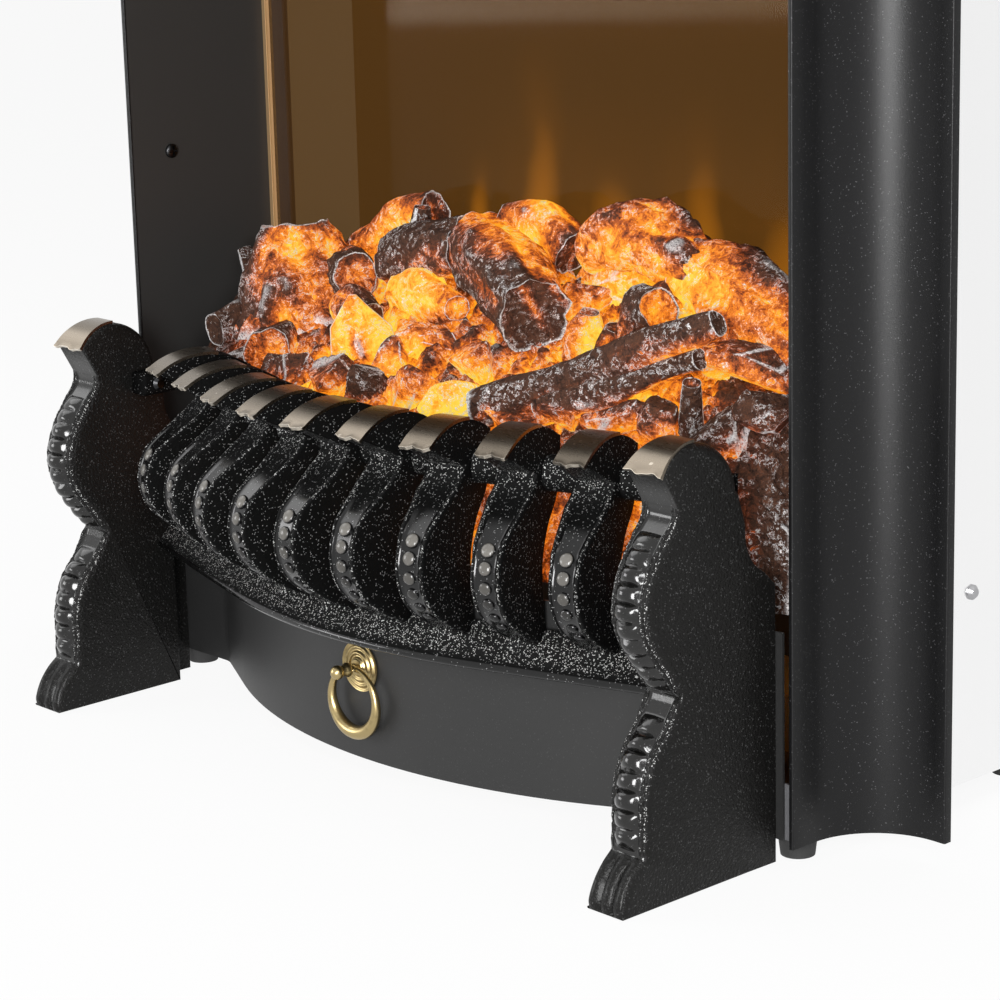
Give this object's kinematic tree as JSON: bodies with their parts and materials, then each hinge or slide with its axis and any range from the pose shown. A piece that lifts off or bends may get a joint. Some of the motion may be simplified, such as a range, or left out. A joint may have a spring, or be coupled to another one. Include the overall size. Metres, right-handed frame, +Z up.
{
  "type": "electric fireplace insert",
  "caption": "Black electric fireplace insert: coved surround, half-mirror flame glass, glowing log bed, cast fret with bright-tipped bars, bowed ash-pan cover with a ring pull.",
  "frame": {"origin": "on the hearth, under the middle of the overall box", "axes": "+Z up, -Y towards the room, +X to the right as seen from the room"},
  "size_m": [0.508, 0.2613, 0.615],
  "materials": {
    "black_sheet": "satin black with a fine sparkle",
    "grey_sheet": "plain satin",
    "fret_iron": "gloss black, grainy",
    "bright_tip": "warm polished nickel",
    "antique_brass": "aged",
    "screw_steel": "zinc",
    "foot_rubber": "matte",
    "gland_plastic": "matte",
    "log_bed": "moulded, lit orange from below",
    "bronze_glass": "bronze half mirror",
    "flame_diffuser": "translucent",
    "foil": "polished foil",
    "motor_can": "plated",
    "circuit_board": "white board",
    "driver_case": "moulded",
    "fan_blades": "plain",
    "element": "mica and wire",
    "switch_black": "satin",
    "rocker_black": "gloss"
  },
  "bodies": {
    "chassis": {"trim_left": "black_sheet", "trim_right": "black_sheet", "trim_top": "black_sheet", "side_panel_left": "black_sheet", "side_panel_right": "black_sheet", "top_panel": "grey_sheet", "back_panel": "grey_sheet", "base_pan": "grey_sheet", "deck": "grey_sheet", "rubber_feet": "foot_rubber", "case_screws": "screw_steel", "reveal_screws": "screw_steel", "cord_gland": "gland_plastic", "fuel_bed": "log_bed", "flame_glass": "bronze_glass", "glass_brackets": "grey_sheet", "flame_screen": "flame_diffuser", "flame_led_strip": "circuit_board", "spindle_bracket_left": "grey_sheet", "spindle_bracket_right": "grey_sheet", "spindle_bushes": "screw_steel", "spindle_motor": "motor_can", "ember_led_board": "circuit_board", "board_pillars": "screw_steel", "led_driver": "driver_case", "canopy": "black_sheet", "outlet_grille": "black_sheet", "heater_housing": "grey_sheet", "fan_bush": "screw_steel", "fan_motor": "motor_can", "heating_element": "element", "thermal_cutout": "motor_can", "switch_bodies": "switch_black"},
    "front": {"fret_comb": "fret_iron", "fret_leg_left": "fret_iron", "fret_leg_right": "fret_iron", "bar_caps": "bright_tip", "leg_caps": "bright_tip", "fret_screws": "screw_steel", "ash_cover": "black_sheet", "cover_screws": "screw_steel", "pull_rosette": "antique_brass", "pull_post": "antique_brass", "pull_nut": "screw_steel"},
    "ring": {"pull_ring": "antique_brass"},
    "spindle": {"flame_spindle": "foil"},
    "impeller": {"fan_impeller": "fan_blades"},
    "rocker_a": {"rocker_1": "rocker_black"},
    "rocker_b": {"rocker_2": "rocker_black"},
    "rocker_c": {"rocker_3": "rocker_black"}
  },
  "joints": [
    {"name": "front_draw", "type": "slide", "parent": "chassis", "child": "front", "axis": [0, -1, 0], "range_m": [0, 0.2]},
    {"name": "ring_swing", "type": "hinge", "parent": "front", "child": "ring", "pos_m": [0, -0.09147, 0.053], "axis": [-1, 0, 0], "range_deg": [0, 95]},
    {"name": "spindle_spin", "type": "hinge", "parent": "chassis", "child": "spindle", "pos_m": [0, 0.07173, 0.13], "axis": [1, 0, 0], "continuous": true},
    {"name": "fan_spin", "type": "hinge", "parent": "chassis", "child": "impeller", "pos_m": [-0.03, 0.05573, 0.5465], "axis": [1, 0, 0], "continuous": true},
    {"name": "rocker_tilt_a", "type": "hinge", "parent": "chassis", "child": "rocker_a", "pos_m": [0.121, -0.01087, 0.5465], "axis": [-1, 0, 0], "range_deg": [0, 16]},
    {"name": "rocker_tilt_b", "type": "hinge", "parent": "chassis", "child": "rocker_b", "pos_m": [0.147, -0.01087, 0.5465], "axis": [-1, 0, 0], "range_deg": [0, 16]},
    {"name": "rocker_tilt_c", "type": "hinge", "parent": "chassis", "child": "rocker_c", "pos_m": [0.173, -0.01087, 0.5465], "axis": [-1, 0, 0], "range_deg": [0, 16]}
  ]
}
